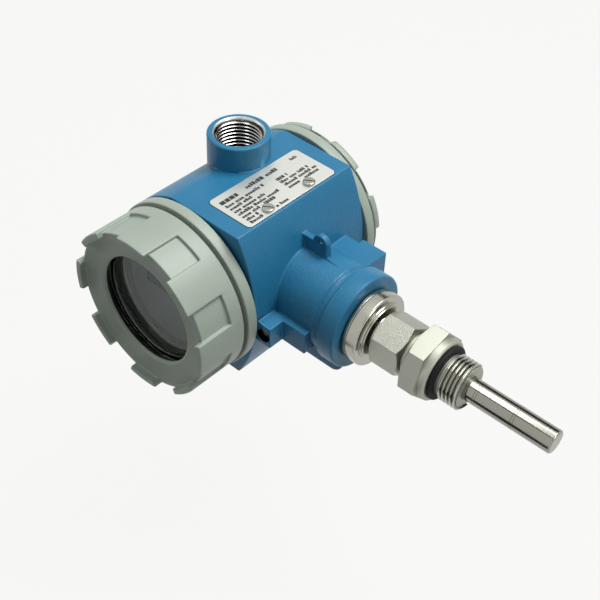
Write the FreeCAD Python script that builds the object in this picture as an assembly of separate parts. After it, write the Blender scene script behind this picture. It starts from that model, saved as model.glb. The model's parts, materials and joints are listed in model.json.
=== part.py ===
import FreeCAD
import Part
import math
import os

V = FreeCAD.Vector

# Thermal flow switch, millimetres. The cap axis is Y and the probe axis is X; they cross near
# the middle of the housing. Everything is moved at the end so that the start of the full process
# thread, on the probe axis, is at the origin.

# housing shell
body_r = 40.0
top_z = body_r - 1.5
body_half = 35.0
side_x = body_r - 12.5
side_bulge = 10.5
side_end = side_x + side_bulge
cavity_r = body_r - 8.5
cap_thread_r = body_r - 5.8
cap_thread_depth = 11.0
wall_y = 21.0 - body_half
wall_thick = 4.0
lump_root = side_x + 2.5

# conduit boss, over the wiring space behind the wall
conduit_x = 1.3 - body_r * 0.35
conduit_y = 6.8
conduit_top = top_z + 12.0
conduit_bore = 10.1
conduit_mouth = conduit_bore + 0.8
conduit_r = conduit_mouth + 3.1
conduit_draft = 0.2
conduit_depth = 15.0
conduit_step = 0.9
conduit_edge = 0.9

# the probe axis lies a little towards the front cap
probe_y = -3.4

# neck and its flange
neck_root = side_x - 7.5
neck_r = 19.8
neck_end = side_end + 21.2
neck_groove_r = neck_r - 1.0
flange_start = neck_end + 3.2
flange_r = neck_r + 2.2
flange_end = flange_start + 9.2
flange_round = 1.0
neck_bore = neck_r - 5.6
cable_bore = 8.5

# lead seal eye on top of the neck
eye_x = side_end + 5.4
eye_y = -1.0
eye_z = neck_r + 6.2
eye_r = 3.8
eye_hole = 1.3
eye_thick = 3.0

# lock screw block of the front cap, with a rib along the neck
lock_x = side_end + 3.4
lock_z = -6.6
lock_size = 11.2
lock_edge = 3.9
lock_front = body_half - 1.0
lock_long = 20.5
rib_end = neck_end - 1.3
rib_y = lock_front - 7.7
rib_long = 15.0
lock_screw_r = 2.0
lock_screw_long = 6.5
lock_head_r = 2.7
lock_head_high = 3.0
lock_head_sunk = 3.8
lock_socket = 2.5

# block of the outer earth screw, on the other side of the neck
earth_block_end = neck_end - 1.5
earth_block_y = body_half - 8.7
earth_block_step = 3.0
earth_block_neck = 13.2
earth_block_long = 20.0
earth_block_z = 5.0
earth_block_high = 14.0
outer_earth_r = 2.0
outer_earth_long = 6.5
outer_earth_head_r = 4.0
outer_earth_head_high = 2.4
outer_earth_slot = 0.5

# caps
cap_r = body_r - 1.0
cap_flange_r = cap_r + 1.0
cap_gap = 0.8
cap_flange_thick = 5.4
cap_groove_r = cap_r - 1.8
cap_groove_wide = 1.2
cap_edge = 0.6
notch_count = 8
notch_angle = 20.5
notch_deep = 1.5
lug_wall = 3.2
front_cap_face = body_half + 28.4
front_dish = 1.2
front_lug_high = 4.4
front_notch_start = body_half + 14.5
rear_cap_face = body_half + 9.4
rear_cap_turn = 18.5
rear_dish = 0.2
rear_lug_high = 1.6
rear_notch_start = body_half + 8.0
cap_bore_r = cap_thread_r - 3.9
cap_wall = 3.5
thread_gap = 0.06

# window
window_seat_r = cap_bore_r - 1.7
window_r = window_seat_r - 3.1
window_lip = 1.6
window_bevel = 1.1
gasket_thick = 2.0
gasket_r = window_seat_r - 2.2
glass_thick = 6.0
retainer_thick = 2.4
retainer_r = window_seat_r - 2.6
seat_gap = 0.05

# cap seal rings
cap_ring_wide = 2.6
cap_ring_deep = 2.2
cap_ring_back = 0.6
ring_side_gap = 0.1
ring_gap = 0.03

# nameplate
plate_x0 = 2.2
plate_x1 = side_x - 1.1
plate_half = body_half - 8.2
plate_thick = 0.8
plate_round = 2.2
plate_recess = 0.5
plate_gap = 0.35
plate_screw_x = plate_x1 - 3.1
plate_screw_y = 0.47 * plate_half
plate_screw_r = 1.25
plate_screw_long = 4.2
plate_head_r = 2.7
plate_head_high = 1.3

# steel adapter in the neck
adapter_seal_thick = 0.7
adapter_seal_r = neck_bore + 1.6
adapter_thin_r = neck_bore + 2.4
adapter_thin = 1.5
adapter_split = 0.3
adapter_wide_r = neck_bore + 2.7
adapter_wide = 5.2
adapter_collar_r = neck_bore - 0.7
adapter_collar = 0.8
adapter_step_r = adapter_collar_r - 0.9
adapter_step = 0.6
adapter_nose_r = 8.6
adapter_nose = 0.7
adapter_tail = 14.0
adapter_gap = 0.05
adapter_flange_end = flange_end + adapter_seal_thick + adapter_thin + adapter_split + adapter_wide
adapter_end = adapter_flange_end + adapter_collar + adapter_step + adapter_nose

# pad under the neck with the screw that locks the adapter
pad_x = flange_end - 10.1
pad_round = 6.0
pad_low = body_r - 11.5
pad_half = 9.0
neck_screw_r = 2.0
neck_screw_socket = 2.0

# probe
probe_r = 5.2
probe_wall = 0.9
probe_gap = 0.04
tip_thick = 2.0
element_r = 1.6
element_y = 2.1
heater_long = 22.0
sensor_long = 14.0
fill_long = 30.0

# compression fitting
nut_start = adapter_end + 0.8
nut_end = nut_start + 14.6
spigot_r = probe_r + 3.7
nut_bore = spigot_r + 0.1
nut_flat = 2 * nut_bore + 4.0
nut_turn = 30.0
spigot_start = nut_start + 7.8
ferrule_r = spigot_r - 0.6
front_ferrule_start = spigot_start - 1.8
back_ferrule_start = front_ferrule_start - 2.6
shoulder_r = spigot_r + 0.5
hex_start = nut_end + 3.7
hex_end = hex_start + 8.5
hex_flat = 29.0
hex_turn = 12.6
collar_end = hex_end + 3.5
collar_r = hex_flat / 2 - 0.5

# process thread and its seal
thread_r = 10.4775
thread_end = collar_end + 12.5
relief_r = thread_r - 1.28
relief_long = 2.6
relief_slope = 1.2
seal_r = thread_r + 1.82
seal_thick = 2.0

probe_start = flange_end - 12.6
probe_end = thread_end + 40.4

# electronics, sized by the room in the cap and in the compartments
board_r = cap_bore_r - 3.3
board_thick = 1.6
board_hole = 1.4
main_board_y = wall_y - wall_thick / 2 - 10.0
display_board_y = -body_half - 3.0
bezel_r = cap_bore_r - 2.8
bezel_y = display_board_y - 8.5
bezel_thick = 1.5
display_half = 0.44 * bezel_r
display_low = 2.0
display_high = 0.51 * bezel_r
display_gap = 0.2
post_ring = board_r - 4.0
post_r = 2.6
post_pin_r = 1.3
post_screw_r = 1.2
post_head_r = 2.2
post_head_high = 1.4
relay_x = -2.0
relay_z = -0.37 * board_r
relay_long = 0.74 * board_r
relay_wide = 0.44 * board_r
relay_high = 9.0
terminal_count = 6
terminal_half = 0.65 * cavity_r
terminal_pitch = 2 * (terminal_half - 1.0) / terminal_count
terminal_deep = 12.0
terminal_high = 0.51 * cavity_r
terminal_z = -0.38 * cavity_r
terminal_well = 5.0
feed_x = 0.44 * cavity_r
feed_z = 0.13 * cavity_r
feed_r = 3.5
earth_x = 0.44 * cavity_r
earth_z = 0.57 * cavity_r
earth_r = 1.5
earth_head_r = 3.2

seat = V(-collar_end - relief_long - relief_slope, -probe_y, 0)

os.makedirs("parts", exist_ok=True)


def save(name, shape):
    moved = shape.copy()
    moved.translate(seat)
    moved.exportStep("parts/" + name + ".step")


def cyl_x(x0, x1, r, y=0, z=0):
    return Part.makeCylinder(r, x1 - x0, V(x0, probe_y + y, z), V(1, 0, 0))


def cyl_y(y0, y1, r, x=0, z=0):
    return Part.makeCylinder(r, y1 - y0, V(x, y0, z), V(0, 1, 0))


def cyl_z(z0, z1, r, x=0, y=0):
    return Part.makeCylinder(r, z1 - z0, V(x, y, z0), V(0, 0, 1))


def block(x0, x1, y0, y1, z0, z1):
    return Part.makeBox(x1 - x0, y1 - y0, z1 - z0, V(x0, y0, z0))


def turned_x(points):
    corners = [V(x, probe_y, r) for x, r in points]
    face = Part.Face(Part.makePolygon(corners + [corners[0]]))
    return face.revolve(V(0, probe_y, 0), V(1, 0, 0), 360)


def turned_y(points):
    corners = [V(r, y, 0) for y, r in points]
    face = Part.Face(Part.makePolygon(corners + [corners[0]]))
    return face.revolve(V(0, 0, 0), V(0, 1, 0), 360)


def hex_prism(x0, x1, flat, turn):
    corner_r = flat / math.sqrt(3)
    corners = []
    for k in range(6):
        a = math.radians(turn + 60 * k)
        corners.append(V(x0, probe_y + corner_r * math.cos(a), corner_r * math.sin(a)))
    return Part.Face(Part.makePolygon(corners + [corners[0]])).extrude(V(x1 - x0, 0, 0))


def hex_bevel(flat):
    corner_r = flat / math.sqrt(3) + 0.02
    edge_r = flat / 2 - 0.2
    return corner_r, edge_r, (corner_r - edge_r) * math.tan(math.radians(30))


# housing

def shell_outline(y0, y1):
    flat = math.sqrt(body_r ** 2 - top_z ** 2)
    top = V(-flat, y0, top_z)
    low = V(-flat, y0, -top_z)
    high_corner = V(side_x, y0, top_z)
    low_corner = V(side_x, y0, -top_z)
    edges = [Part.Arc(top, V(-body_r, y0, 0), low).toShape()]
    edges.append(Part.makeLine(low, low_corner))
    edges.append(Part.Arc(low_corner, V(side_x + side_bulge, y0, 0), high_corner).toShape())
    edges.append(Part.makeLine(high_corner, top))
    return Part.Face(Part.Wire(edges)).extrude(V(0, y1 - y0, 0))


def neck_solid():
    soft = flange_round
    points = [(neck_root, 0), (neck_root, neck_r), (neck_end - 1, neck_r), (neck_end, neck_r - 1), (neck_end, neck_groove_r)]
    points += [(flange_start, neck_groove_r), (flange_start, flange_r - 0.8), (flange_start + 0.8, flange_r)]
    points += [(flange_end - soft, flange_r), (flange_end - 0.3 * soft, flange_r - 0.3 * soft)]
    points += [(flange_end, flange_r - soft), (flange_end, 0)]
    return turned_x(points)


def conduit_boss():
    long = conduit_top - neck_root
    boss = Part.makeCone(conduit_r + conduit_draft, conduit_r, long, V(conduit_x, conduit_y, neck_root), V(0, 0, 1))
    rim = max(boss.Edges, key=lambda edge: edge.BoundBox.ZMin)
    return boss.makeFillet(conduit_edge, [rim])


def seal_eye():
    low = neck_r - 8
    y0 = eye_y - eye_thick / 2
    y1 = eye_y + eye_thick / 2
    tongue = block(eye_x - eye_r, eye_x + eye_r, y0, y1, low, eye_z)
    tongue = tongue.fuse(cyl_y(y0, y1, eye_r, eye_x, eye_z))
    rib = block(side_x, eye_x, y0, y1, low, eye_z)
    return tongue.fuse(rib)


def front_lock_block():
    low = lock_z - lock_size / 2
    high = lock_z + lock_size / 2
    cube = block(lump_root, lock_x + lock_edge, -lock_front, -lock_front + lock_long, low, high)
    rib = block(lump_root, rib_end, -rib_y, -rib_y + rib_long, low, high)
    return cube.fuse(rib)


def earth_block():
    low = earth_block_z - earth_block_high / 2
    high = earth_block_z + earth_block_high / 2
    y0 = earth_block_y - earth_block_long
    cube = block(earth_block_end - earth_block_neck, earth_block_end, y0, earth_block_y, low, high)
    return cube.fuse(block(lump_root, earth_block_end, y0, earth_block_y - earth_block_step, low, high))


def earth_place():
    return earth_block_end - earth_block_neck / 2


def neck_pad():
    y0 = probe_y - pad_half
    y1 = probe_y + pad_half
    top = -neck_r / 2
    bar = block(lump_root, pad_x, y0, y1, -pad_low, top)
    nose = block(pad_x - 1, pad_x + pad_round, y0, y1, -pad_low + pad_round, top)
    return bar.fuse(nose).fuse(cyl_y(y0, y1, pad_round, pad_x, -pad_low + pad_round))


def plate_blank(x0, x1, half, z0, z1, round_r):
    flat = block(x0, x1, -half, half, z0, z1)
    uprights = []
    for edge in flat.Edges:
        a = edge.Vertexes[0].Point
        b = edge.Vertexes[1].Point
        if abs(a.x - b.x) < 0.01 and abs(a.y - b.y) < 0.01:
            uprights.append(edge)
    return flat.makeFillet(round_r, uprights)


def screw_cuts():
    gap = thread_gap
    head_base = -lock_front + lock_head_sunk
    cuts = [cyl_y(-body_half - 1, head_base, lock_head_r + 0.3, lock_x, lock_z)]
    cuts.append(cyl_y(-lock_front - 1, head_base + lock_screw_long + 0.5, lock_screw_r + gap, lock_x, lock_z))
    depth = outer_earth_long + 0.5
    cuts.append(cyl_y(earth_block_y - depth, earth_block_y + 1, outer_earth_r + gap, earth_place(), earth_block_z))
    cuts.append(cyl_z(-pad_low - 1, -neck_r / 2, neck_screw_r + gap, pad_x, probe_y))
    for y in (-plate_screw_y, plate_screw_y):
        cuts.append(cyl_z(top_z - plate_screw_long - 0.3, top_z, plate_screw_r + 0.02, plate_screw_x, y))
    return cuts


def conduit_cuts():
    x, y, top = conduit_x, conduit_y, conduit_top
    lip = conduit_mouth - conduit_bore
    cuts = [cyl_z(neck_root, top + 1, conduit_bore - conduit_step, x, y)]
    cuts.append(cyl_z(top - conduit_depth, top + 1, conduit_bore, x, y))
    cuts.append(Part.makeCone(conduit_bore, conduit_mouth, lip, V(x, y, top - lip), V(0, 0, 1)))
    return cuts


def housing():
    shape = shell_outline(-body_half, body_half)
    for lump in (neck_solid(), conduit_boss(), seal_eye(), front_lock_block(), earth_block(), neck_pad()):
        shape = shape.fuse(lump)
    wall_back = wall_y + wall_thick / 2
    wall_front = wall_y - wall_thick / 2
    cuts = [cyl_y(-body_half - 1, wall_front, cavity_r)]
    cuts.append(cyl_y(wall_back, body_half + 1, cavity_r))
    cuts.append(cyl_y(-body_half - 1, -body_half + cap_thread_depth, cap_thread_r))
    cuts.append(cyl_y(body_half - cap_thread_depth, body_half + 1, cap_thread_r))
    cuts.append(cyl_x(flange_end - adapter_tail - 0.4, flange_end + 1, neck_bore))
    cuts.append(cyl_x(neck_root, flange_end, cable_bore))
    cuts.append(cyl_y(eye_y - eye_thick, eye_y + eye_thick, eye_hole, eye_x, eye_z))
    cuts.append(plate_blank(plate_x0 - plate_gap, plate_x1 + plate_gap, plate_half + plate_gap, top_z - plate_recess,
                            top_z + 1, plate_round + plate_gap))
    for x, z in post_places():
        cuts.append(cyl_y(wall_front - 1, wall_front + 1, board_hole, x, z))
    cuts.append(cyl_y(wall_front - 1, wall_back + 1, feed_r, feed_x, feed_z))
    cuts.append(cyl_y(wall_back - 3, wall_back + 1, earth_r + 0.05, earth_x, earth_z))
    return shape.cut(Part.makeCompound(cuts + screw_cuts() + conduit_cuts()))


# caps

def notches(face, lug_high, start, side, turn):
    front = face + lug_high + 1
    floor_r = cap_r - notch_deep
    half = cap_r * math.sin(math.radians(notch_angle / 2))
    pocket = cyl_y(start, front, cap_r + 5).cut(cyl_y(start - 1, front + 1, floor_r))
    gap = cyl_y(face, front, cap_r + 5).cut(cyl_y(face - 1, front + 1, cap_r - lug_wall - 0.1))
    tools = []
    for k in range(notch_count):
        wedge = block(cap_r - lug_wall - 2, cap_r + 5, start, front, -half, half)
        tool = wedge.common(pocket.fuse(gap))
        tool.rotate(V(0, 0, 0), V(0, 1, 0), 360.0 * (k + 0.5) / notch_count - turn)
        if side < 0:
            tool = tool.mirror(V(0, 0, 0), V(0, 1, 0))
        tools.append(tool)
    return tools


def cap_body(face, dish, lug_high, start, side, turn):
    y0 = body_half + cap_gap
    y1 = y0 + cap_flange_thick
    y2 = y1 + cap_groove_wide
    spigot_end = body_half - cap_thread_depth + 1
    spigot_r = cap_thread_r - thread_gap
    ring_y = body_half - cap_ring_back
    soft = cap_edge
    inner = cap_r - lug_wall
    points = [(spigot_end, 0), (spigot_end, spigot_r - 0.8), (spigot_end + 0.8, spigot_r)]
    points += [(ring_y - cap_ring_wide, spigot_r), (ring_y - cap_ring_wide, spigot_r - cap_ring_deep)]
    points += [(ring_y, spigot_r - cap_ring_deep), (ring_y, spigot_r), (y0, spigot_r)]
    points += [(y0, cap_flange_r - soft), (y0 + soft, cap_flange_r), (y1 - soft, cap_flange_r)]
    points += [(y1, cap_flange_r - soft), (y1, cap_groove_r), (y2, cap_groove_r), (y2, cap_r - soft), (y2 + soft, cap_r)]
    points += [(face + lug_high - soft, cap_r), (face + lug_high, cap_r - soft), (face + lug_high, inner + 0.3)]
    points += [(face + lug_high - 0.3, inner), (face + dish, inner), (face, cap_bore_r), (face, 0)]
    shape = turned_y([(side * y, r) for y, r in points])
    return shape.cut(Part.makeCompound(notches(face + dish, lug_high, start, side, turn)))


def front_cap():
    shape = cap_body(front_cap_face, front_dish, front_lug_high, front_notch_start, -1, 0)
    inner = front_cap_face - window_lip
    back = inner - gasket_thick - glass_thick - retainer_thick
    cuts = [cyl_y(-front_cap_face - 1, -back, window_r)]
    cuts.append(cyl_y(-inner, wall_y, window_seat_r))
    cuts.append(cyl_y(-back + 0.02, wall_y, cap_bore_r))
    shape = shape.cut(Part.makeCompound(cuts))
    return bevel_mouth(shape)


def bevel_mouth(shape):
    mouth = V(0, -front_cap_face, 0)
    return shape.cut(Part.makeCone(window_r + window_bevel, window_r, window_bevel, mouth, V(0, 1, 0)))


def rear_cap():
    shape = cap_body(rear_cap_face, rear_dish, rear_lug_high, rear_notch_start, 1, rear_cap_turn)
    return shape.cut(cyl_y(0, rear_cap_face - cap_wall, cap_bore_r))


def cap_ring(side):
    outer = cap_thread_r - ring_gap
    inner = cap_thread_r - thread_gap - cap_ring_deep + ring_gap
    y1 = body_half - cap_ring_back - ring_side_gap
    y0 = y1 - cap_ring_wide + 2 * ring_side_gap
    soft = 0.7
    points = [(y0, inner), (y0, outer - soft), (y0 + soft, outer), (y1 - soft, outer), (y1, outer - soft), (y1, inner)]
    return turned_y([(side * y, r) for y, r in points])


def window_levels():
    gasket_face = -(front_cap_face - window_lip)
    glass_face = gasket_face + gasket_thick
    retainer_face = glass_face + glass_thick
    return gasket_face, glass_face, retainer_face


def window_gasket():
    face, glass_face, retainer_face = window_levels()
    tube = cyl_y(face, glass_face, window_seat_r - seat_gap)
    return tube.cut(cyl_y(face - 1, glass_face + 1, gasket_r))


def window_glass():
    face, glass_face, retainer_face = window_levels()
    return cyl_y(glass_face, retainer_face, window_seat_r - seat_gap)


def window_retainer():
    face, glass_face, retainer_face = window_levels()
    end = retainer_face + retainer_thick
    tube = cyl_y(retainer_face, end, window_seat_r - seat_gap)
    tube = tube.cut(cyl_y(retainer_face - 1, end + 1, retainer_r))
    slots = []
    for k in range(2):
        slot = block(retainer_r - 1, window_seat_r + 1, end - 1.0, end + 1, -1.2, 1.2)
        slot.rotate(V(0, 0, 0), V(0, 1, 0), 180 * k + 20)
        slots.append(slot)
    return tube.cut(Part.makeCompound(slots))


# screws

def socket_screw(head_r, head_high, shank_r, shank_len, socket_flat):
    head = turned_y([(0, 0), (0, head_r), (head_high - 0.3, head_r), (head_high, head_r - 0.3), (head_high, 0)])
    shank = cyl_y(-shank_len, 0, shank_r)
    corners = []
    for k in range(6):
        a = math.radians(60 * k)
        r = socket_flat / math.sqrt(3)
        corners.append(V(r * math.cos(a), head_high * 0.45, r * math.sin(a)))
    socket = Part.Face(Part.makePolygon(corners + [corners[0]])).extrude(V(0, head_high, 0))
    return head.fuse(shank).cut(socket)


def front_lock_screw():
    screw = socket_screw(lock_head_r, lock_head_high, lock_screw_r, lock_screw_long, lock_socket)
    screw.rotate(V(0, 0, 0), V(0, 0, 1), 180)
    screw.translate(V(lock_x, -lock_front + lock_head_sunk, lock_z))
    return screw


def outer_earth_screw():
    r, high = outer_earth_head_r, outer_earth_head_high
    points = [(-outer_earth_long, 0), (-outer_earth_long, outer_earth_r), (0, outer_earth_r), (0, r + 0.8)]
    points += [(0.8, r + 0.8), (0.8, r), (high - 0.5, r), (high, r - 0.5), (high, 0)]
    slot = block(-r - 1, r + 1, high - 1.2, high + 1, -outer_earth_slot, outer_earth_slot)
    screw = turned_y(points).cut(slot)
    screw.translate(V(earth_place(), earth_block_y, earth_block_z))
    return screw


def neck_screw():
    shank = cyl_z(-pad_low + 0.6, -neck_bore - 0.02, neck_screw_r, pad_x, probe_y)
    corner_r = neck_screw_socket / math.sqrt(3)
    corners = []
    for k in range(6):
        a = math.radians(60 * k)
        corners.append(V(pad_x + corner_r * math.cos(a), probe_y + corner_r * math.sin(a), -pad_low))
    socket = Part.Face(Part.makePolygon(corners + [corners[0]])).extrude(V(0, 0, 2.8))
    return shank.cut(socket)


def nameplate():
    z0 = top_z - plate_recess
    shape = plate_blank(plate_x0, plate_x1, plate_half, z0, z0 + plate_thick, plate_round)
    for y in (-plate_screw_y, plate_screw_y):
        shape = shape.cut(cyl_z(z0 - 1, z0 + 3, plate_screw_r + 0.15, plate_screw_x, y))
    return shape


def nameplate_screws():
    z0 = top_z - plate_recess + plate_thick
    screws = []
    for y in (-plate_screw_y, plate_screw_y):
        head = cyl_z(z0, z0 + plate_head_high, plate_head_r, plate_screw_x, y)
        head = head.makeFillet(0.45, [head.Edges[0]])
        slot = block(-plate_head_r - 1, plate_head_r + 1, -0.35, 0.35, 0, 2)
        slot.rotate(V(0, 0, 0), V(0, 0, 1), 35)
        slot.translate(V(plate_screw_x, y, z0 + 0.7))
        shank = cyl_z(top_z - plate_screw_long, z0, plate_screw_r, plate_screw_x, y)
        screws.append(head.cut(slot).fuse(shank))
    return Part.makeCompound(screws)


# steel parts on the probe axis

def adapter_seal():
    tube = cyl_x(flange_end, flange_end + adapter_seal_thick, adapter_seal_r)
    return tube.cut(cyl_x(flange_end - 1, flange_end + 5, neck_bore - adapter_gap + 0.02))


def probe_bore():
    return probe_r + probe_gap


def neck_adapter():
    tail = flange_end - adapter_tail
    tail_r = neck_bore - adapter_gap
    x0 = flange_end + adapter_seal_thick
    x1 = x0 + adapter_thin
    x2 = x1 + adapter_split
    x3 = adapter_flange_end
    x4 = x3 + adapter_collar
    x5 = x4 + adapter_step
    thin, wide, collar, step = adapter_thin_r, adapter_wide_r, adapter_collar_r, adapter_step_r
    points = [(tail, probe_bore()), (tail, tail_r - 0.5), (tail + 0.5, tail_r), (x0, tail_r), (x0, thin)]
    points += [(x1, thin), (x1, thin - 0.8), (x2, thin - 0.8), (x2, wide), (x3 - 0.6, wide), (x3, wide - 0.6)]
    points += [(x3, collar), (x4 - 0.2, collar), (x4, collar - 0.2), (x4, step), (x5 - 0.2, step)]
    points += [(x5, step - 0.2), (x5, adapter_nose_r), (adapter_end, adapter_nose_r), (adapter_end, probe_bore())]
    return turned_x(points)


def compression_nut():
    corner_r, edge_r, slope = hex_bevel(nut_flat)
    outline = [(nut_start, 0), (nut_start, edge_r), (nut_start + slope, corner_r)]
    outline += [(nut_end - slope, corner_r), (nut_end, edge_r), (nut_end, 0)]
    shape = hex_prism(nut_start, nut_end, nut_flat, nut_turn).common(turned_x(outline))
    cuts = [cyl_x(nut_start - 1, nut_end + 1, probe_r + 0.15)]
    cuts.append(cyl_x(front_ferrule_start, nut_end + 1, nut_bore))
    cuts.append(cyl_x(back_ferrule_start - 0.1, front_ferrule_start, ferrule_r + 0.1))
    return shape.cut(Part.makeCompound(cuts))


def back_ferrule():
    x0 = back_ferrule_start
    x1 = front_ferrule_start - 0.1
    inner = probe_bore()
    slope = 1.2
    return turned_x([(x0, inner), (x0, ferrule_r - slope), (x0 + slope, ferrule_r), (x1, ferrule_r), (x1, inner)])


def front_ferrule():
    x0 = front_ferrule_start
    x1 = spigot_start - 0.3
    inner = probe_bore()
    points = [(x0, inner), (x0, ferrule_r), (x1, ferrule_r), (x1, inner + 1.7)]
    return turned_x(points + [(spigot_start + 1.6, inner + 0.4), (spigot_start + 1.6, inner)])


def process_fitting():
    corner_r, edge_r, slope = hex_bevel(hex_flat)
    outline = [(hex_start, 0), (hex_start, edge_r), (hex_start + slope, corner_r), (hex_end, corner_r), (hex_end, 0)]
    hexagon = hex_prism(hex_start, hex_end, hex_flat, hex_turn).common(turned_x(outline))
    bore = probe_bore()
    neck_x = nut_end + 0.4
    relief_end = collar_end + relief_long
    points = [(spigot_start, bore + 1.6), (spigot_start, spigot_r - 0.5), (spigot_start + 0.5, spigot_r)]
    points += [(neck_x, spigot_r), (neck_x, shoulder_r), (hex_start + 1, shoulder_r), (hex_start + 1, collar_r)]
    points += [(collar_end - 0.8, collar_r), (collar_end, collar_r - 0.8), (collar_end, relief_r)]
    points += [(relief_end, relief_r), (relief_end + relief_slope, thread_r)]
    points += [(thread_end - 1.0, thread_r), (thread_end, thread_r - 1.0), (thread_end, bore)]
    points += [(spigot_start + 2.4, bore)]
    return turned_x(points).fuse(hexagon.cut(cyl_x(hex_start - 1, hex_end + 1, bore)))


def seal_ring():
    soft = 0.5
    x1 = collar_end + seal_thick
    inner = relief_r + ring_gap
    points = [(collar_end, inner), (collar_end, seal_r - soft), (collar_end + soft, seal_r)]
    points += [(x1 - soft, seal_r), (x1, seal_r - soft), (x1, inner)]
    return turned_x(points)


def probe_tube():
    soft = 0.5
    inner = probe_r - probe_wall
    points = [(probe_start, inner), (probe_start, probe_r), (probe_end - soft, probe_r), (probe_end, probe_r - soft)]
    points += [(probe_end, 0), (probe_end - tip_thick, 0), (probe_end - tip_thick, inner)]
    return turned_x(points)


def tip_levels():
    end = probe_end - tip_thick - 0.2
    return end - fill_long, end


def element(long, y):
    end = tip_levels()[1] - 1
    return cyl_x(end - long, end, element_r, y, 0)


def heater_element():
    return element(heater_long, element_y)


def sensor_element():
    return element(sensor_long, -element_y)


def tip_filling():
    x0, x1 = tip_levels()
    shape = cyl_x(x0, x1, probe_r - probe_wall - 0.02)
    return shape.cut(Part.makeCompound([heater_element(), sensor_element()]))


# electronics

def post_places():
    places = []
    for k in range(3):
        a = math.radians(90 + 120 * k)
        places.append((post_ring * math.cos(a), post_ring * math.sin(a)))
    return places


def round_board(y):
    holes = [cyl_y(y - board_thick - 1, y + 1, board_hole, x, z) for x, z in post_places()]
    return cyl_y(y - board_thick, y, board_r).cut(Part.makeCompound(holes))


def main_board():
    return round_board(main_board_y)


def display_board():
    return round_board(display_board_y)


def board_posts():
    posts = []
    for x, z in post_places():
        low = cyl_y(main_board_y, wall_y - wall_thick / 2, post_r, x, z)
        high = cyl_y(display_board_y, main_board_y - board_thick, post_r, x, z)
        pin = cyl_y(main_board_y - board_thick, main_board_y, post_pin_r, x, z)
        hole = cyl_y(display_board_y - 1, display_board_y + 3, post_screw_r + 0.02, x, z)
        posts.append(low.fuse(pin).fuse(high).cut(hole))
    return Part.makeCompound(posts)


def bezel_plate():
    back = display_board_y - board_thick
    cup = cyl_y(bezel_y, back, bezel_r)
    cup = cup.cut(cyl_y(bezel_y + bezel_thick, back + 1, bezel_r - bezel_thick))
    slot = block(-display_half, display_half, bezel_y - 1, bezel_y + bezel_thick + 1, display_low, display_high)
    return cup.cut(slot)


def display_module():
    half = display_half - display_gap
    low = display_low + display_gap
    return block(-half, half, bezel_y + 0.5, display_board_y - board_thick, low, display_high - display_gap)


def board_screws():
    screws = []
    y = display_board_y - board_thick
    for x, z in post_places():
        head = cyl_y(y - post_head_high, y, post_head_r, x, z)
        shank = cyl_y(y, y + 1.5, post_screw_r, x, z)
        screws.append(head.fuse(shank))
    return Part.makeCompound(screws)


def relay():
    y1 = main_board_y - board_thick
    x0 = relay_x - relay_long / 2
    z0 = relay_z - relay_wide / 2
    return block(x0, x0 + relay_long, y1 - relay_high, y1, z0, z0 + relay_wide)


def feedthrough():
    y0 = wall_y - wall_thick / 2
    y1 = wall_y + wall_thick / 2
    barrel = cyl_y(y0 - 2, y1 + 0.02, feed_r - 0.03, feed_x, feed_z)
    head = cyl_y(y1, y1 + 2.5, feed_r + 1.6, feed_x, feed_z)
    return barrel.fuse(head)


def terminal_block():
    y0 = wall_y + wall_thick / 2
    y1 = y0 + terminal_deep
    z0 = terminal_z - terminal_high / 2
    shape = block(-terminal_half, terminal_half, y0, y1, z0, z0 + terminal_high)
    cuts = []
    for x in terminal_places():
        cuts.append(cyl_y(y1 - terminal_well, y1 + 1, 2.2, x, terminal_z + 2.5))
        cuts.append(block(x - 1.6, x + 1.6, y0 + 3, y0 + 7, z0 - 1, terminal_z - 3))
    return shape.cut(Part.makeCompound(cuts))


def terminal_places():
    first = -(terminal_count - 1) * terminal_pitch / 2
    return [first + k * terminal_pitch for k in range(terminal_count)]


def terminal_screws():
    screws = []
    y = wall_y + wall_thick / 2 + terminal_deep - terminal_well
    for x in terminal_places():
        head = cyl_y(y, y + 2.2, 2.0, x, terminal_z + 2.5)
        screws.append(head.cut(block(x - 3, x + 3, y + 1.2, y + 3, terminal_z + 2.2, terminal_z + 2.8)))
    return Part.makeCompound(screws)


def earth_screw():
    y = wall_y + wall_thick / 2
    x = earth_x
    shape = cyl_y(y, y + 2.2, earth_head_r, x, earth_z).fuse(cyl_y(y - 2.8, y, earth_r, x, earth_z))
    return shape.cut(block(x - 4, x + 4, y + 1.3, y + 3, earth_z - 0.4, earth_z + 0.4))


save("housing", housing())
save("front_cap", front_cap())
save("front_cap_ring", cap_ring(-1))
save("window_gasket", window_gasket())
save("window_glass", window_glass())
save("window_retainer", window_retainer())
save("rear_cap", rear_cap())
save("rear_cap_ring", cap_ring(1))
save("front_lock_screw", front_lock_screw())
save("outer_earth_screw", outer_earth_screw())
save("neck_screw", neck_screw())
save("nameplate", nameplate())
save("nameplate_screws", nameplate_screws())
save("adapter_seal", adapter_seal())
save("neck_adapter", neck_adapter())
save("compression_nut", compression_nut())
save("back_ferrule", back_ferrule())
save("front_ferrule", front_ferrule())
save("process_fitting", process_fitting())
save("seal_ring", seal_ring())
save("probe_tube", probe_tube())
save("heater_element", heater_element())
save("sensor_element", sensor_element())
save("tip_filling", tip_filling())
save("main_board", main_board())
save("display_board", display_board())
save("board_posts", board_posts())
save("bezel_plate", bezel_plate())
save("display_module", display_module())
save("board_screws", board_screws())
save("relay", relay())
save("feedthrough", feedthrough())
save("terminal_block", terminal_block())
save("terminal_screws", terminal_screws())
save("earth_screw", earth_screw())
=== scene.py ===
import bmesh
import bpy
import json
import math
import random
from mathutils import Matrix, Vector


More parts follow.
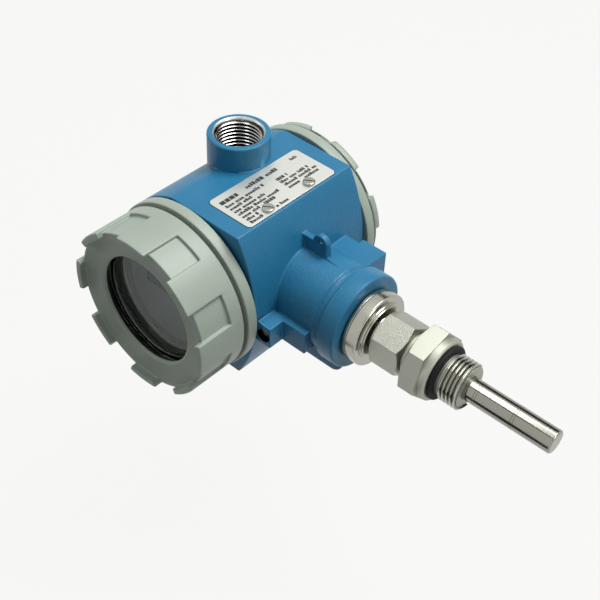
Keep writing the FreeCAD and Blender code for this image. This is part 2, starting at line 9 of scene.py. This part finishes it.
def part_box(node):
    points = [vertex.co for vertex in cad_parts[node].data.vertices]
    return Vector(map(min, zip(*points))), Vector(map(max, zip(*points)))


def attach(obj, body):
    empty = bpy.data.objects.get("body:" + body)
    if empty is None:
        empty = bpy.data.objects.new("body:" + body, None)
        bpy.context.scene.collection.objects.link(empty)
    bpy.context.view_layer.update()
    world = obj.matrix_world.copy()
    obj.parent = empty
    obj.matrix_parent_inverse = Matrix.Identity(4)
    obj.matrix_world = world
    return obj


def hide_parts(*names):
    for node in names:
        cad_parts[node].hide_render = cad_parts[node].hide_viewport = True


# Housing. A die-cast aluminium casting with two compartments, powder coated in blue. Its edges are
# softened by the casting and by the paint, which has a slight orange peel. The conduit mouth is
# bored and threaded after painting, so it is bare metal.

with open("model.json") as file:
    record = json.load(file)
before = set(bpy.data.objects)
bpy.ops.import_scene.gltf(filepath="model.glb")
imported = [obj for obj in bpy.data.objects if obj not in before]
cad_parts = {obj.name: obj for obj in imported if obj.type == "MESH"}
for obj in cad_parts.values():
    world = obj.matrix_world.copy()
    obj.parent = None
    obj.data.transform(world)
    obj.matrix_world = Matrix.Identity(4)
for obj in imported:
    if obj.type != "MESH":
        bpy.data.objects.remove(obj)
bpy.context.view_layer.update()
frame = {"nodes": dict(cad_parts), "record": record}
mm = 0.001
bodies = frame["record"]["behaviour"]["bodies"]
body_with = {node: body for body, nodes in bodies.items() for node in nodes}
cap_low, cap_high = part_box("front_cap")
cap_x = (cap_low[0] + cap_high[0]) / 2
# The casting's own middle lies a little behind the probe's axis.
middle_y = 3.4 * mm
conduit_x = cap_x - 12.7 * mm
conduit_y = middle_y + 6.8 * mm
conduit_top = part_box("housing")[1][2]
conduit_bore = 10.1 * mm
conduit_rim = 10.9 * mm
conduit_root = 10.75 * mm
conduit_crest = 9.65 * mm
conduit_lip = 11.5 * mm
conduit_deep = 16.0 * mm
conduit_pitch = 1.814 * mm
conduit_turns = 8
conduit_foot = 0.88 * mm
conduit_tip = 0.12 * mm
first_turn = 1.1 * mm
ridge_bite = 0.1 * mm


def linear(text):
    shares = [int(text[k:k + 2], 16) / 255 for k in (1, 3, 5)]
    return [s / 12.92 if s <= 0.04045 else ((s + 0.055) / 1.055) ** 2.4 for s in shares] + [1.0]


def add_node(material, kind, inputs=None, **settings):
    node = material.node_tree.nodes.new(kind)
    for name, value in settings.items():
        setattr(node, name, value)
    for name, value in (inputs or {}).items():
        socket = node.inputs[name]
        if isinstance(value, bpy.types.NodeSocket):
            material.node_tree.links.new(value, socket)
        else:
            socket.default_value = value
    return node


def new_material(name):
    material = bpy.data.materials.new(name)
    material.use_nodes = True
    material.node_tree.nodes.clear()
    return material


def finish_material(material, inputs):
    shader = add_node(material, "ShaderNodeBsdfPrincipled", inputs)
    add_node(material, "ShaderNodeOutputMaterial", {"Surface": shader.outputs["BSDF"]})
    return material


# A surface with a fine grain, and with soft patches in which its tone and its shine drift a little.
# The grain of paint and rubber is drawn coarser than the real one, so that it shows. A Mix node's
# colours are its inputs 6 and 7, and the mixed colour is its output 2.
def grained(name, light, dark, rough, grain_mm, bump_mm, shine_level=0.35, metallic=0.0):
    patch_mm = 22.2
    material = new_material(name)
    place = add_node(material, "ShaderNodeTexCoord").outputs["Object"]
    grain = add_node(material, "ShaderNodeTexNoise",
                     {"Vector": place, "Scale": 1 / (grain_mm * mm), "Detail": 3.0, "Roughness": 0.6})
    patch = add_node(material, "ShaderNodeTexNoise",
                     {"Vector": place, "Scale": 1 / (patch_mm * mm), "Detail": 3.0})
    tone = add_node(material, "ShaderNodeMix", {0: patch.outputs["Fac"], 6: linear(dark), 7: linear(light)},
                    data_type="RGBA")
    shine = add_node(material, "ShaderNodeMapRange",
                     {"Value": patch.outputs["Fac"], "To Min": rough - 0.04, "To Max": rough + 0.06})
    bump = add_node(material, "ShaderNodeBump",
                    {"Height": grain.outputs["Fac"], "Strength": 0.6, "Distance": bump_mm * mm})
    return finish_material(material, {"Base Color": tone.outputs[2], "Roughness": shine.outputs["Result"],
                                      "Normal": bump.outputs["Normal"], "Metallic": metallic,
                                      "Specular IOR Level": shine_level})


def place_mesh(bm, name, material, body):
    crease = math.radians(50)
    mesh = bpy.data.meshes.new(name)
    bm.to_mesh(mesh)
    bm.free()
    piece = bpy.data.objects.new(name, mesh)
    bpy.context.scene.collection.objects.link(piece)
    mesh.materials.append(material)
    mesh.shade_smooth()
    mesh.set_sharp_from_angle(angle=crease)
    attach(piece, body)
    return piece


def merged(node):
    weld = 0.003 * mm
    flat = math.radians(0.6)
    bm = bmesh.new()
    bm.from_mesh(frame["nodes"][node].data)
    bmesh.ops.remove_doubles(bm, verts=bm.verts, dist=weld)
    bmesh.ops.dissolve_limit(bm, angle_limit=flat, verts=bm.verts, edges=bm.edges)
    return bm


# Only edges whose two faces are deep enough for the round are cut, so a thin step keeps its form.
def round_edges(bm, width):
    corner = math.radians(25)
    room = 2.2 * width
    chosen = []
    for edge in bm.edges:
        start, end = (v.co for v in edge.verts)
        way = (end - start).normalized()
        depths = [max(((v.co - start) - way * (v.co - start).dot(way)).length for v in face.verts)
                  for face in edge.link_faces]
        if edge.calc_face_angle(0) > corner and min(depths) > room:
            chosen.append(edge)
    bmesh.ops.bevel(bm, geom=chosen, offset=width, offset_type="OFFSET", affect="EDGES", segments=2,
                    profile=0.5, material=-1)


def dressed(node, material, width, bm=None):
    bm = bm or merged(node)
    round_edges(bm, width * mm)
    piece = place_mesh(bm, node + "_finished", material, body_with[node])
    even = piece.modifiers.new("even_shading", "WEIGHTED_NORMAL")
    even.keep_sharp = True
    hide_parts(node)


# A thread's ridge: its section is spun about Z and climbs one pitch a turn.
def helix(root, crest, half_foot, half_tip, pitch, turns, steps):
    bm = bmesh.new()
    corners = [bm.verts.new(Vector((root, 0, -half_foot))), bm.verts.new(Vector((crest, 0, -half_tip))),
               bm.verts.new(Vector((crest, 0, half_tip))), bm.verts.new(Vector((root, 0, half_foot)))]
    start = bm.faces.new(corners)
    bmesh.ops.spin(bm, geom=[start], cent=(0, 0, 0), axis=(0, 0, 1), dvec=(0, 0, pitch / steps),
                   angle=math.tau * turns, steps=steps * turns, use_duplicate=False)
    bmesh.ops.recalc_face_normals(bm, faces=bm.faces)
    return bm


# Powder coat on a casting: an even satin blue whose faint peel breaks up the highlights.
blue_paint = grained("powder_coated_blue", "#287497", "#1D6289", 0.36, 1.2, 0.3, 0.28)

# The bore is opened to the thread's root and its mouth to the bare lip, both inside the boss.
near = 0.05 * mm
top_edge = 0.1 * mm
housing_mesh = merged("housing")
for v in housing_mesh.verts:
    away = Vector((v.co.x - conduit_x, v.co.y - conduit_y, 0))
    wall = abs(away.length - conduit_bore) < near and v.co.z > conduit_top - conduit_deep
    rim = abs(away.length - conduit_rim) < near and v.co.z > conduit_top - top_edge
    if wall or rim:
        away.length = conduit_lip if rim else conduit_root
        v.co.x = conduit_x + away.x
        v.co.y = conduit_y + away.y
dressed("housing", blue_paint, 0.55, housing_mesh)


# A metal with the lines of its tool or die across the given axis. Real lines are finer than these,
# which are as wide as they need to be to show.
def machined(name, colour, rough, line_mm, axis, bump_mm=0.0015):
    long_mm = 250
    material = new_material(name)
    place = add_node(material, "ShaderNodeTexCoord").outputs["Object"]
    stretch = [1 / (long_mm * mm)] * 3
    stretch[axis] = 1 / (line_mm * mm)
    lines = add_node(material, "ShaderNodeMapping", {"Vector": place, "Scale": stretch})
    cuts = add_node(material, "ShaderNodeTexNoise",
                    {"Vector": lines.outputs["Vector"], "Scale": 1.0, "Detail": 3.0})
    shine = add_node(material, "ShaderNodeMapRange",
                     {"Value": cuts.outputs["Fac"], "To Min": rough - 0.05, "To Max": rough + 0.07})
    bump = add_node(material, "ShaderNodeBump",
                    {"Height": cuts.outputs["Fac"], "Strength": 0.25, "Distance": bump_mm * mm})
    return finish_material(material, {"Base Color": linear(colour), "Metallic": 1.0,
                                      "Roughness": shine.outputs["Result"],
                                      "Normal": bump.outputs["Normal"]})


# A cut thread, whose tone goes from crest to root with the distance from its axis: the dark root colour is
# painted shade in the grooves.
def threaded(name, crest_colour, root_shade_colour, rough, centre, across, crest, root):
    material = new_material(name)
    place = add_node(material, "ShaderNodeTexCoord").outputs["Object"]
    arm = add_node(material, "ShaderNodeVectorMath", {0: place, 1: across, 2: centre},
                   operation="MULTIPLY_ADD")
    away = add_node(material, "ShaderNodeVectorMath", {0: arm.outputs[0]}, operation="LENGTH")
    groove_shade = add_node(material, "ShaderNodeMapRange",
                    {"Value": away.outputs["Value"], "From Min": crest, "From Max": root})
    # Painted shade: the colour darkens from the bright crest towards the root.
    tone = add_node(material, "ShaderNodeMix",
                    {0: groove_shade.outputs["Result"], 6: linear(crest_colour), 7: linear(root_shade_colour)},
                    data_type="RGBA")
    return finish_material(material, {"Base Color": tone.outputs[2], "Metallic": 1.0, "Roughness": rough})


# Bare machined aluminium: a pale bright ring against the blue, with fine turning lines. In the
# thread only the crests are bright, and painted shade darkens the grooves to nearly black.
bare_alloy = machined("machined_alloy", "#C2C2BE", 0.3, 0.25, 2)
cut_alloy_painted_shade = threaded("cut_thread_alloy_painted_shade", "#C9C9C5", "#232322", 0.2, (-conduit_x, -conduit_y, 0.0),
                     (1.0, 1.0, 0.0), conduit_crest, (conduit_crest + conduit_root) / 2)
thread_bm = helix(conduit_root + ridge_bite, conduit_crest, conduit_foot, conduit_tip, conduit_pitch,
                  conduit_turns, 48)
bmesh.ops.translate(thread_bm, verts=thread_bm.verts,
                    vec=(conduit_x, conduit_y, conduit_top - first_turn - conduit_turns * conduit_pitch))
place_mesh(thread_bm, "conduit_thread", cut_alloy_painted_shade, "instrument")

# Radius and depth in mm of the lip, of the wall behind the thread and of the step at its end.
bore_profile = ((11.47, 0.0), (11.12, 0.22), (10.68, 0.82), (10.65, 1.2), (10.65, 16.0), (9.25, 16.0))
bore_bm = bmesh.new()
line = [bore_bm.verts.new((radius * mm, 0, -depth * mm)) for radius, depth in bore_profile]
line_edges = [bore_bm.edges.new((a, b)) for a, b in zip(line, line[1:])]
bmesh.ops.spin(bore_bm, geom=line + line_edges, cent=(0, 0, 0), axis=(0, 0, 1), angle=math.tau, steps=96,
               use_merge=True)
bmesh.ops.translate(bore_bm, verts=bore_bm.verts, vec=(conduit_x, conduit_y, conduit_top))
# A bore faces its own axis.
for face in bore_bm.faces:
    face.normal_flip()
place_mesh(bore_bm, "conduit_bare_bore", bare_alloy, "instrument")

# Nameplate. A thin satin metal plate in a shallow recess of the housing's flat top, printed in dark
# ink with plain bars in place of words, and held by two slotted screws.

plate_low, plate_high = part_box("nameplate")
screws_low, screws_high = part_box("nameplate_screws")
head_r = (screws_high[0] - screws_low[0]) / 2
heads = [Vector((screws_low[0] + head_r, y, 0)) for y in (screws_low[1] + head_r, screws_high[1] - head_r)]
head_clear = 1.3 * mm
ink_thick = 0.03 * mm

# Satin-rolled plate: a soft light grey without a clear reflection. The screws give small glints.
plate_metal = machined("satin_plate", "#C4C5BF", 0.46, 0.12, 1, 0.002)
dressed("nameplate", plate_metal, 0.12)
bright_steel = machined("bright_screw_steel", "#A6A6A0", 0.22, 0.4, 2)
dressed("nameplate_screws", bright_steel, 0.06)

# Screen print: flat, matt and nearly black.
ink = finish_material(new_material("dark_print"), {"Base Color": linear("#16181A"), "Roughness": 0.6})
# Each row in mm: its place across the plate, the letters' height, where the row begins and ends
# along the plate, and the width of a stroke.
line_gap = 2.35
small_tall = 1.75
small_wide = 0.95
left_ends = (24.0, 15.5, 20.0, 26.0, 23.0, 17.0, 24.0)
right_ends = (37.0, 48.0, 50.5, 49.0)
print_rows = [(2.8, 3.2, 2.6, 12.0, 1.8), (3.2, 2.1, 18.0, 37.0, 1.3), (3.0, 1.8, 46.0, 50.5, 1.0)]
print_rows += [(7.1 + line_gap * k, small_tall, 2.8, end, small_wide) for k, end in enumerate(left_ends)]
print_rows += [(9.1 + line_gap * k, small_tall, 31.0, end, small_wide) for k, end in enumerate(right_ends)]
ink_bm = bmesh.new()
draw = random.Random(7)
for across, tall, along, end, wide in print_rows:
    letters_left = draw.randint(3, 8)
    while along < end:
        stroke = wide * draw.uniform(0.6, 1.5)
        rise = tall * draw.choice((0.7, 0.7, 1.0))
        spot = Vector((plate_low[0] + (across + tall - rise / 2) * mm,
                       plate_low[1] + (along + stroke / 2) * mm, 0))
        if min((spot - head).length for head in heads) > head_r + head_clear:
            bar = bmesh.ops.create_cube(ink_bm, size=1.0)["verts"]
            bmesh.ops.scale(ink_bm, verts=bar, vec=(rise * mm, stroke * mm, ink_thick))
            bmesh.ops.translate(ink_bm, verts=bar, vec=(spot.x, spot.y, plate_high[2] + ink_thick / 2))
        along += stroke + 0.2 * wide
        letters_left -= 1
        if letters_left == 0:
            along += wide
            letters_left = draw.randint(3, 8)
place_mesh(ink_bm, "nameplate_print", ink, "instrument")

# Window cap. The castellated screw cap of the electronics side, cast and powder coated grey-green,
# with a thick glass held against a black gasket by a turned steel ring.

# The same powder coat, matter than the blue, so that the rim's lugs and pockets read by their shade.
grey_paint = grained("powder_coated_grey_green", "#9CA79B", "#8E998D", 0.38, 0.9, 0.18)
dressed("front_cap", grey_paint, 0.6)
# Moulded seal rubber: a dull black with hardly any highlight.
black_rubber = grained("black_seal_rubber", "#17181A", "#0F1011", 0.65, 0.5, 0.02, 0.2)
dressed("window_gasket", black_rubber, 0.2)
dressed("window_retainer", bright_steel, 0.2)
# Thick toughened glass, faintly green: a clear window with soft reflections over a dark inside.
# Shadow rays pass through it, so that light reaches the display.
glass_tint = linear("#E4EAE8")
glass = new_material("toughened_glass")
clear = add_node(glass, "ShaderNodeBsdfPrincipled",
                 {"Base Color": glass_tint, "Roughness": 0.03, "IOR": 1.5, "Transmission Weight": 1.0})
through = add_node(glass, "ShaderNodeBsdfTransparent", {"Color": glass_tint})
path = add_node(glass, "ShaderNodeLightPath")
blend = add_node(glass, "ShaderNodeMixShader",
                 {0: path.outputs["Is Shadow Ray"], 1: clear.outputs[0], 2: through.outputs[0]})
add_node(glass, "ShaderNodeOutputMaterial", {"Surface": blend.outputs[0]})
dressed("window_glass", glass, 0.5)
dressed("front_cap_ring", black_rubber, 0.1)

# Blind cap of the terminal side. It is the same casting with a closed face, in the same paint, and
# screws down on its own black ring.

dressed("rear_cap", grey_paint, 0.6)
dressed("rear_cap_ring", black_rubber, 0.1)

# Screws outside. A stainless socket screw that jams the window cap, one that holds the neck adapter,
# and the slotted outer earth screw with its washer.

# Cold-headed stainless steel: a blunter shine than that of the turned parts.
socket_steel = machined("socket_screw_steel", "#C4C4BE", 0.36, 0.3, 1)
for node in ("front_lock_screw", "outer_earth_screw", "neck_screw"):
    dressed(node, socket_steel, 0.1)

# Neck adapter. Turned stainless steel, two rings and a collar, screwed into the neck on a thin black
# seal.

# Turned stainless steel: sharp bands of light and dark around each ring, with fine tool lines.
turned_steel = machined("turned_stainless", "#A8A79D", 0.17, 0.35, 0)
dressed("adapter_seal", black_rubber, 0.1)
dressed("neck_adapter", turned_steel, 0.18)

# Compression fitting. The nut and the fitting's hexagon are milled from bar, with flats of a duller
# satin than the turned faces. The process thread is cut on the fitting's nose.

thread_r = 10.4775 * mm
thread_root = 9.35 * mm
thread_pitch = 1.814 * mm
thread_turns = 5
thread_foot = 0.86 * mm
thread_tip = 0.1 * mm
thread_start = -0.4 * mm
nose_start = -1.0 * mm

# Milled bar: each flat has one soft grey shade. The nut is blasted too, so that its flats look
# grainy and sparkle faintly.
milled_steel = grained("milled_stainless", "#A9ABA0", "#9A9C91", 0.5, 0.55, 0.03, 0.5, metallic=1.0)
nut_steel = grained("blasted_stainless", "#BABBB0", "#96978D", 0.34, 0.6, 0.2, 0.5, metallic=1.0)
dressed("compression_nut", nut_steel, 0.15)
dressed("back_ferrule", turned_steel, 0.1)
dressed("front_ferrule", turned_steel, 0.1)

fitting_mesh = merged("process_fitting")
for v in fitting_mesh.verts:
    away = Vector((0, v.co.y, v.co.z))
    if v.co.x > nose_start and away.length > thread_root:
        away.length = thread_root
        v.co.y = away.y
        v.co.z = away.z
dressed("process_fitting", milled_steel, 0.15, fitting_mesh)
ridge = helix(thread_root - ridge_bite, thread_r, thread_foot, thread_tip, thread_pitch, thread_turns, 64)
bmesh.ops.rotate(ridge, verts=ridge.verts, cent=(0, 0, 0), matrix=Matrix.Rotation(math.pi / 2, 3, "Y"))
bmesh.ops.translate(ridge, verts=ridge.verts, vec=(thread_start, 0, 0))
# Cut stainless thread: thin bright crests over grooves darkened by painted shade.
cut_steel_painted_shade = threaded("cut_thread_steel_painted_shade", "#BDBCB2", "#3E3E3A", 0.18, (0.0, 0.0, 0.0), (0.0, 1.0, 1.0),
                     thread_r, thread_root)
place_mesh(ridge, "process_thread_ridge", cut_steel_painted_shade, "instrument")
dressed("seal_ring", black_rubber, 0.15)

# Probe. A drawn stainless tube with a closed tip. Two pairs of fine rings show where the elements
# are swaged in.

probe_low, probe_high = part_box("probe_tube")
probe_r = (probe_high[2] - probe_low[2]) / 2
ring_r = probe_r + 0.012 * mm
ring_wide = 0.16 * mm
ring_places_mm = (13.3, 14.4, 30.8, 31.9)

# Drawn and polished tube: clean streaks of light that run from end to end.
drawn_steel = machined("drawn_stainless", "#94938A", 0.16, 0.8, 0, 0.0004)
dressed("probe_tube", drawn_steel, 0.2)
# Swaged grooves: thin dark lines around the tube.
mark = finish_material(new_material("swage_mark"),
                       {"Base Color": linear("#4A4944"), "Metallic": 1.0, "Roughness": 0.5})
mark_bm = bmesh.new()
for place_mm in ring_places_mm:
    hoop = bmesh.ops.create_cone(mark_bm, cap_ends=False, segments=64, radius1=ring_r, radius2=ring_r,
                                 depth=ring_wide)["verts"]
    bmesh.ops.rotate(mark_bm, verts=hoop, cent=(0, 0, 0), matrix=Matrix.Rotation(math.pi / 2, 3, "Y"))
    bmesh.ops.translate(mark_bm, verts=hoop, vec=(place_mm * mm, 0, 0))
place_mesh(mark_bm, "probe_rings", mark, "instrument")

# Inside parts. Two circuit boards on brass posts, a display behind a printed bezel, black moulded
# blocks for relay and terminals, and the ceramic elements in the filling of the tip.

# Glass-fibre board under a green lacquer, with a low sheen.
board = grained("circuit_board", "#256744", "#1B5336", 0.4, 0.4, 0.01)
# Moulded polyamide: soft black with blunt highlights.
black_mould = grained("black_moulding", "#26282B", "#1D1F21", 0.5, 0.4, 0.02)
# Fired ceramic: dull ivory.
ceramic = grained("ceramic_element", "#DCD6C8", "#CFC8B8", 0.5, 0.4, 0.01)
# Cast resin: flat dark grey, with no clear reflection.
filling = grained("cast_filling", "#45443F", "#383733", 0.6, 0.6, 0.02)
# Plain turned brass: a warm yellow glint among the dark parts.
brass = machined("plain_brass", "#C4A25A", 0.3, 0.3, 1)
# Printed bezel: a dark grey field with a black rim, which frames the window as it does in the photo.
bezel_field = 22.5 * mm
bezel = new_material("bezel_print")
place = add_node(bezel, "ShaderNodeTexCoord").outputs["Object"]
across = add_node(bezel, "ShaderNodeVectorMath", {0: place, 1: (1.0, 0.0, 1.0), 2: (-cap_x, 0.0, 0.0)},
                  operation="MULTIPLY_ADD")
away = add_node(bezel, "ShaderNodeVectorMath", {0: across.outputs[0]}, operation="LENGTH")
rim = add_node(bezel, "ShaderNodeMath", {0: away.outputs["Value"], 1: bezel_field},
               operation="GREATER_THAN")
tone = add_node(bezel, "ShaderNodeMix", {0: rim.outputs[0], 6: linear("#474B4A"), 7: linear("#0E0F10")},
                data_type="RGBA")
finish_material(bezel, {"Base Color": tone.outputs[2], "Roughness": 0.5})
inside = {"main_board": board, "display_board": board, "bezel_plate": bezel, "display_module": black_mould,
          "relay": black_mould, "terminal_block": black_mould, "board_posts": brass, "earth_screw": brass,
          "board_screws": bright_steel, "terminal_screws": bright_steel, "feedthrough": filling,
          "tip_filling": filling, "heater_element": ceramic, "sensor_element": ceramic}
for node, material in inside.items():
    skin = frame["nodes"][node].data.materials
    skin.clear()
    skin.append(material)

# Studio. A pale floor well below the hanging instrument, four soft lamps and a surround that looks
# white to the eye and in reflections, but lights the instrument only weakly.

floor_drop = 150 * mm
floor_reach = 4.0
paper_white = linear("#FDFDFC")


def seen_ray(material):
    path = add_node(material, "ShaderNodeLightPath")
    either = add_node(material, "ShaderNodeMath",
                      {0: path.outputs["Is Camera Ray"], 1: path.outputs["Is Glossy Ray"]},
                      operation="MAXIMUM")
    every = add_node(material, "ShaderNodeMath",
                     {0: either.outputs[0], 1: path.outputs["Is Transmission Ray"]}, operation="MAXIMUM")
    return every.outputs[0]


floor_bm = bmesh.new()
bmesh.ops.create_grid(floor_bm, x_segments=1, y_segments=1, size=floor_reach)
bmesh.ops.translate(floor_bm, verts=floor_bm.verts, vec=(0, 0, -floor_drop))
floor_mesh = bpy.data.meshes.new("floor")
floor_bm.to_mesh(floor_mesh)
floor_bm.free()
floor = bpy.data.objects.new("floor", floor_mesh)
bpy.context.scene.collection.objects.link(floor)
# Matt paper, lit from within by nine tenths for what the camera and the metal see, so that it stays
# nearly white and still takes a faint shadow.
floor_paint = new_material("pale_floor")
matt = add_node(floor_paint, "ShaderNodeBsdfDiffuse", {"Color": linear("#A8A8A6")})
glow = add_node(floor_paint, "ShaderNodeEmission", {"Color": paper_white, "Strength": 1.0})
pale = add_node(floor_paint, "ShaderNodeMixShader", {0: 0.92, 1: matt.outputs[0], 2: glow.outputs[0]})
blend = add_node(floor_paint, "ShaderNodeMixShader",
                 {0: seen_ray(floor_paint), 1: matt.outputs[0], 2: pale.outputs[0]})
add_node(floor_paint, "ShaderNodeOutputMaterial", {"Surface": blend.outputs[0]})
floor_mesh.materials.append(floor_paint)

world = bpy.data.worlds.new("studio")
bpy.context.scene.world = world
world.use_nodes = True
world.node_tree.nodes.clear()
soft = add_node(world, "ShaderNodeBackground", {"Color": linear("#F6F8FA"), "Strength": 0.27})
white = add_node(world, "ShaderNodeBackground", {"Color": paper_white, "Strength": 1.0})
blend = add_node(world, "ShaderNodeMixShader",
                 {0: seen_ray(world), 1: soft.outputs[0], 2: white.outputs[0]})
add_node(world, "ShaderNodeOutputWorld", {"Surface": blend.outputs[0]})

# Each lamp: its place from the middle of the instrument, its width and height in metres, its watts.
middle = Vector((cap_x + 30 * mm, 0, 0))
lamps = {"overhead": ((0.2, 0.35, 0.9), 0.6, 0.6, 10.0), "front_left": ((-0.7, -0.6, 0.3), 0.3, 0.3, 0.75),
         "right": ((0.8, 0.1, 0.35), 0.25, 0.25, 1.0), "strip": ((-0.2, 0.0, 0.95), 1.0, 0.13, 2.0)}
for name, (spot, wide, tall, power) in lamps.items():
    lamp = bpy.data.lights.new(name, "AREA")
    lamp.shape = "ELLIPSE"
    lamp.size = wide
    lamp.size_y = tall
    lamp.energy = power
    holder = bpy.data.objects.new(name, lamp)
    holder.location = middle + Vector(spot)
    holder.rotation_euler = (-Vector(spot)).to_track_quat("-Z", "Y").to_euler()
    bpy.context.scene.collection.objects.link(holder)

# Camera. Its direction, roll, distance and lens were fitted to the photograph's own points, with the
# picture taken as 600 pixels wide.

view_turn = math.radians(40.594)
view_rise = math.radians(43.058)
view_roll = math.radians(2.435)
view_far = 485.65 * mm
view_side = -23.07 * mm
view_lift = 26.37 * mm
focal_pixels = 1070.74
picture_pixels = 600
sensor_wide = 36
back = Vector((math.sin(view_turn) * math.cos(view_rise), -math.cos(view_turn) * math.cos(view_rise),
               math.sin(view_rise)))
right = Vector((0, 0, 1)).cross(back).normalized()
up = back.cross(right)
right, up = (right * math.cos(view_roll) + up * math.sin(view_roll),
             up * math.cos(view_roll) - right * math.sin(view_roll))
camera = bpy.data.cameras.new("camera")
camera.lens = focal_pixels / picture_pixels * sensor_wide
camera.sensor_width = sensor_wide
camera.clip_end = 20
viewer = bpy.data.objects.new("camera", camera)
spot = Vector((cap_x, middle_y, 0)) + back * view_far - right * view_side - up * view_lift
turn = Matrix((right, up, back)).transposed()
viewer.matrix_world = Matrix.Translation(spot) @ turn.to_4x4()
bpy.context.scene.collection.objects.link(viewer)
bpy.context.scene.camera = viewer
bpy.context.scene.view_settings.view_transform = "Standard"

# Dark cards, as a photographer stands them around shiny steel: behind the camera, behind, above and
# below the tube, and before the window. Only reflections show them, as the dark bands on the steel.

tube_middle = Vector((30 * mm, 0, 0))
window_middle = Vector((cap_x, cap_low[1], 0))
# The tube mirrors towards the camera what lies in ways that lean this far back along X.
tube_lean = -0.267

# Black card, matt.
card_paint = finish_material(new_material("black_card"),
                             {"Base Color": linear("#0B0B0B"), "Roughness": 1.0})
# Each card: what it faces, the way to it, and its distance and radius in metres.
cards = {"card_behind_camera": (middle, back, 1.1, 0.22),
         "card_rear": (tube_middle, Vector((tube_lean, 0.84, 0.48)), 1.0, 0.26),
         "card_above": (tube_middle, Vector((tube_lean, -0.4, 0.88)), 0.9, 0.09),
         "card_below": (tube_middle, Vector((tube_lean, -0.8, -0.54)), 0.2, 0.05),
         "card_window": (window_middle, Vector((-0.475, -0.555, -0.683)), 0.18, 0.07)}
for name, (target, way, far, size) in cards.items():
    card_bm = bmesh.new()
    bmesh.ops.create_circle(card_bm, cap_ends=True, segments=48, radius=size)
    facing = way.to_track_quat("Z", "Y").to_matrix().to_4x4()
    spot = Matrix.Translation(target + way.normalized() * far)
    bmesh.ops.transform(card_bm, verts=card_bm.verts, matrix=spot @ facing)
    card_mesh = bpy.data.meshes.new(name)
    card_bm.to_mesh(card_mesh)
    card_bm.free()
    card_mesh.materials.append(card_paint)
    card = bpy.data.objects.new(name, card_mesh)
    bpy.context.scene.collection.objects.link(card)
    card.visible_camera = False
    card.visible_diffuse = False
    card.visible_shadow = False
    card.visible_transmission = False
